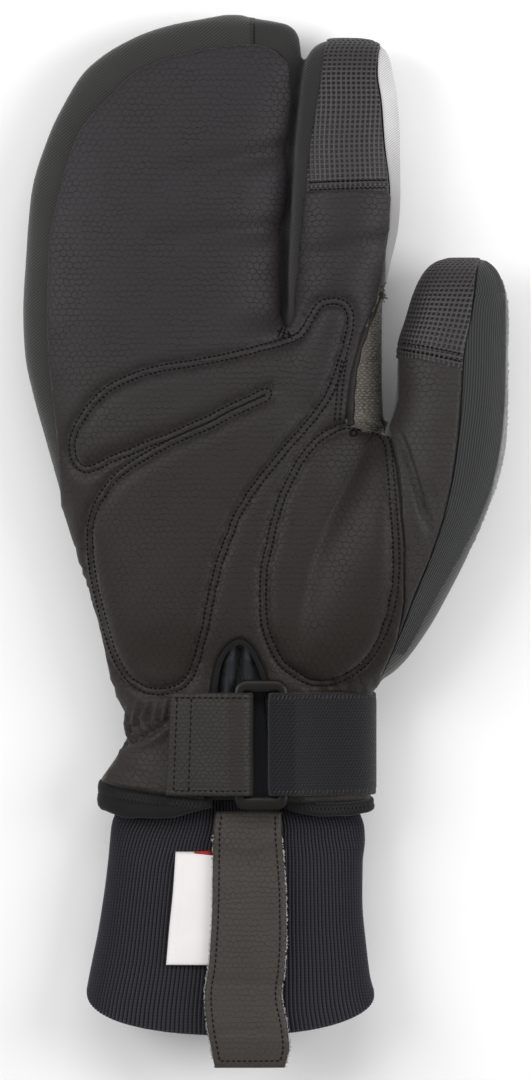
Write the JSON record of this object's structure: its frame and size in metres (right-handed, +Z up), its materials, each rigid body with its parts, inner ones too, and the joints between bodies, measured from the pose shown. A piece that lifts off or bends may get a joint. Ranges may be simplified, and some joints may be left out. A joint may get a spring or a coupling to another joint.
{
  "type": "trigger mitten",
  "caption": "Padded right-hand mitten with a free index finger, leather palm with stitched pads, buckled wrist strap, pull tab and long rib-knit cuff",
  "frame": {"origin": "middle of the mitten's plan box, on the surface that its back lies on", "axes": "+X to the thumb, +Y to the fingertips, +Z up out of the palm"},
  "size_m": [0.1258, 0.2738, 0.0376],
  "materials": {
    "leather": "pebbled synthetic leather, satin",
    "waffle_leather": "leather embossed with a fine waffle grid",
    "tab_leather": "pebbled leather with raw edges",
    "web_leather": "soft thin leather",
    "softshell": "twill softshell",
    "ribbed_stretch": "stretch softshell with fine lengthwise lines",
    "grey_softshell": "light grey softshell",
    "terry": "grey terry",
    "vent_cloth": "thin smooth cloth",
    "binding_cloth": "overlocked binding",
    "knit": "rib knit",
    "elastic": "woven elastic",
    "buckle_plastic": "moulded black plastic",
    "label_cloth": "woven white label"
  },
  "bodies": {
    "root": {"palm_panel": "leather", "index_tip_patch": "waffle_leather", "thumb_tip_patch": "waffle_leather", "thumb_panel": "leather", "thumb_side_panel": "ribbed_stretch", "thumb_wipe": "terry", "fourchette": "softshell", "index_back_panel": "grey_softshell", "web_gusset": "web_leather", "vent_gusset": "vent_cloth", "vent_binding": "vent_cloth", "back_shell": "softshell", "hem_binding": "binding_cloth", "knit_cuff": "knit", "wrist_tab": "tab_leather", "elastic_band": "elastic", "buckle_ring": "buckle_plastic", "pull_tab": "tab_leather", "label": "label_cloth"}
  },
  "joints": []
}
